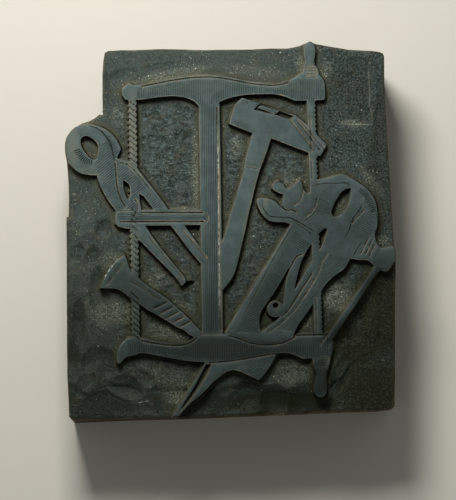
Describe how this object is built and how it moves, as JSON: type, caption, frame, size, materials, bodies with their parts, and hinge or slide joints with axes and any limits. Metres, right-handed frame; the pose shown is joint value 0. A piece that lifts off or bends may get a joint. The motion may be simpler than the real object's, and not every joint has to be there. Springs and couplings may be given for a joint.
{
  "type": "wood engraving printing block",
  "caption": "Type-high block of end-grain hardwood strips, with hand tools cut in relief on its printing face and the ground cleared away round them.",
  "frame": {"origin": "middle of the block's box, on the face it rests on", "axes": "+X to the right of the picture, +Y to the head of the picture, +Z out of the printing face"},
  "size_m": [0.0662, 0.0758, 0.0236],
  "materials": {
    "block_wood": "dark printing ink worked into close end grain, worn to brown on the rims of the relief",
    "tongue_wood": "bare straight-grained wood, dulled with handling"
  },
  "bodies": {
    "root": {"head_strip": "block_wood", "middle_strip": "block_wood", "foot_strip": "block_wood", "upper_tongue": "tongue_wood", "lower_tongue": "tongue_wood"}
  },
  "joints": []
}
